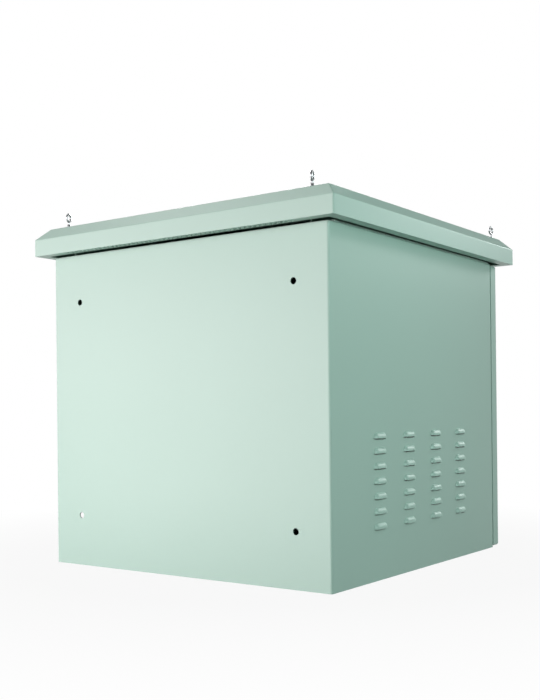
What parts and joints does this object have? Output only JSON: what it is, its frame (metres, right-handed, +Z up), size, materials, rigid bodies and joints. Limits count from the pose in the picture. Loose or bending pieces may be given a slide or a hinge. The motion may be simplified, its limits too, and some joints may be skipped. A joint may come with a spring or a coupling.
{
  "type": "wall-mount rack cabinet",
  "caption": "Outdoor wall-mount rack cabinet with a hooded roof, louvred sides, sealed hinged door, quarter-turn latches, fans and an inner 19-inch frame.",
  "frame": {"origin": "middle of the outline on the base plane", "axes": "+X right seen from the door, +Y to the wall, +Z up"},
  "size_m": [0.652, 0.68, 0.643],
  "materials": {
    "coat": "satin",
    "zinc": "satin",
    "bright": "semi-gloss",
    "lock_metal": "satin",
    "rubber": "matt",
    "fan_plastic": "matt",
    "fleece": "matt",
    "brass": "satin"
  },
  "bodies": {
    "cabinet": {"body_wrap": "coat", "floor_pan": "coat", "top_panel": "coat", "door_frame": "coat", "roof_cap": "coat", "roof_bearer_left": "coat", "roof_bearer_right": "coat", "gland_plate": "coat", "front_post_left": "zinc", "front_post_right": "zinc", "rear_post_left": "zinc", "rear_post_right": "zinc", "lower_rail_left": "zinc", "lower_rail_right": "zinc", "upper_rail_left": "zinc", "upper_rail_right": "zinc", "filter_frame_left": "zinc", "filter_frame_right": "zinc", "hinge_frame_leaves": "zinc", "lifting_eyes": "bright", "lifting_eye_nuts": "bright", "bearer_bolts": "bright", "post_bolts": "bright", "rail_bolts": "bright", "fan_screws": "bright", "filter_studs": "bright", "gland_screws": "bright", "hinge_pins": "bright", "gland_grommets": "rubber", "side_port_trim": "rubber", "fan_frame_left": "fan_plastic", "fan_frame_right": "fan_plastic", "filter_mat_left": "fleece", "filter_mat_right": "fleece", "earth_stud": "brass", "earth_nuts": "brass"},
    "door": {"door": "coat", "door_gasket": "rubber", "door_stiffener": "coat", "hinge_door_leaves": "zinc", "latch_housings": "lock_metal", "latch_nuts": "bright"},
    "upper_latch": {"upper_latch_plug": "lock_metal", "upper_latch_cam": "lock_metal", "upper_cam_screw": "bright"},
    "lower_latch": {"lower_latch_plug": "lock_metal", "lower_latch_cam": "lock_metal", "lower_cam_screw": "bright"},
    "fan_left": {"fan_rotor_left": "fan_plastic"},
    "fan_right": {"fan_rotor_right": "fan_plastic"}
  },
  "joints": [
    {"name": "door_hinge", "type": "hinge", "parent": "cabinet", "child": "door", "pos_m": [0.295, -0.302, 0.2815], "axis": [0, 0, 1], "range_deg": [0, 120]},
    {"name": "upper_latch_turn", "type": "hinge", "parent": "door", "child": "upper_latch", "pos_m": [-0.244, -0.3, 0.42125], "axis": [0, 1, 0], "range_deg": [0, 90]},
    {"name": "lower_latch_turn", "type": "hinge", "parent": "door", "child": "lower_latch", "pos_m": [-0.244, -0.3, 0.14175], "axis": [0, 1, 0], "range_deg": [0, 90]},
    {"name": "fan_left_spin", "type": "hinge", "parent": "cabinet", "child": "fan_left", "pos_m": [-0.1, 0.054, 0.547], "axis": [0, 0, 1], "continuous": true},
    {"name": "fan_right_spin", "type": "hinge", "parent": "cabinet", "child": "fan_right", "pos_m": [0.1, 0.054, 0.547], "axis": [0, 0, 1], "continuous": true}
  ]
}
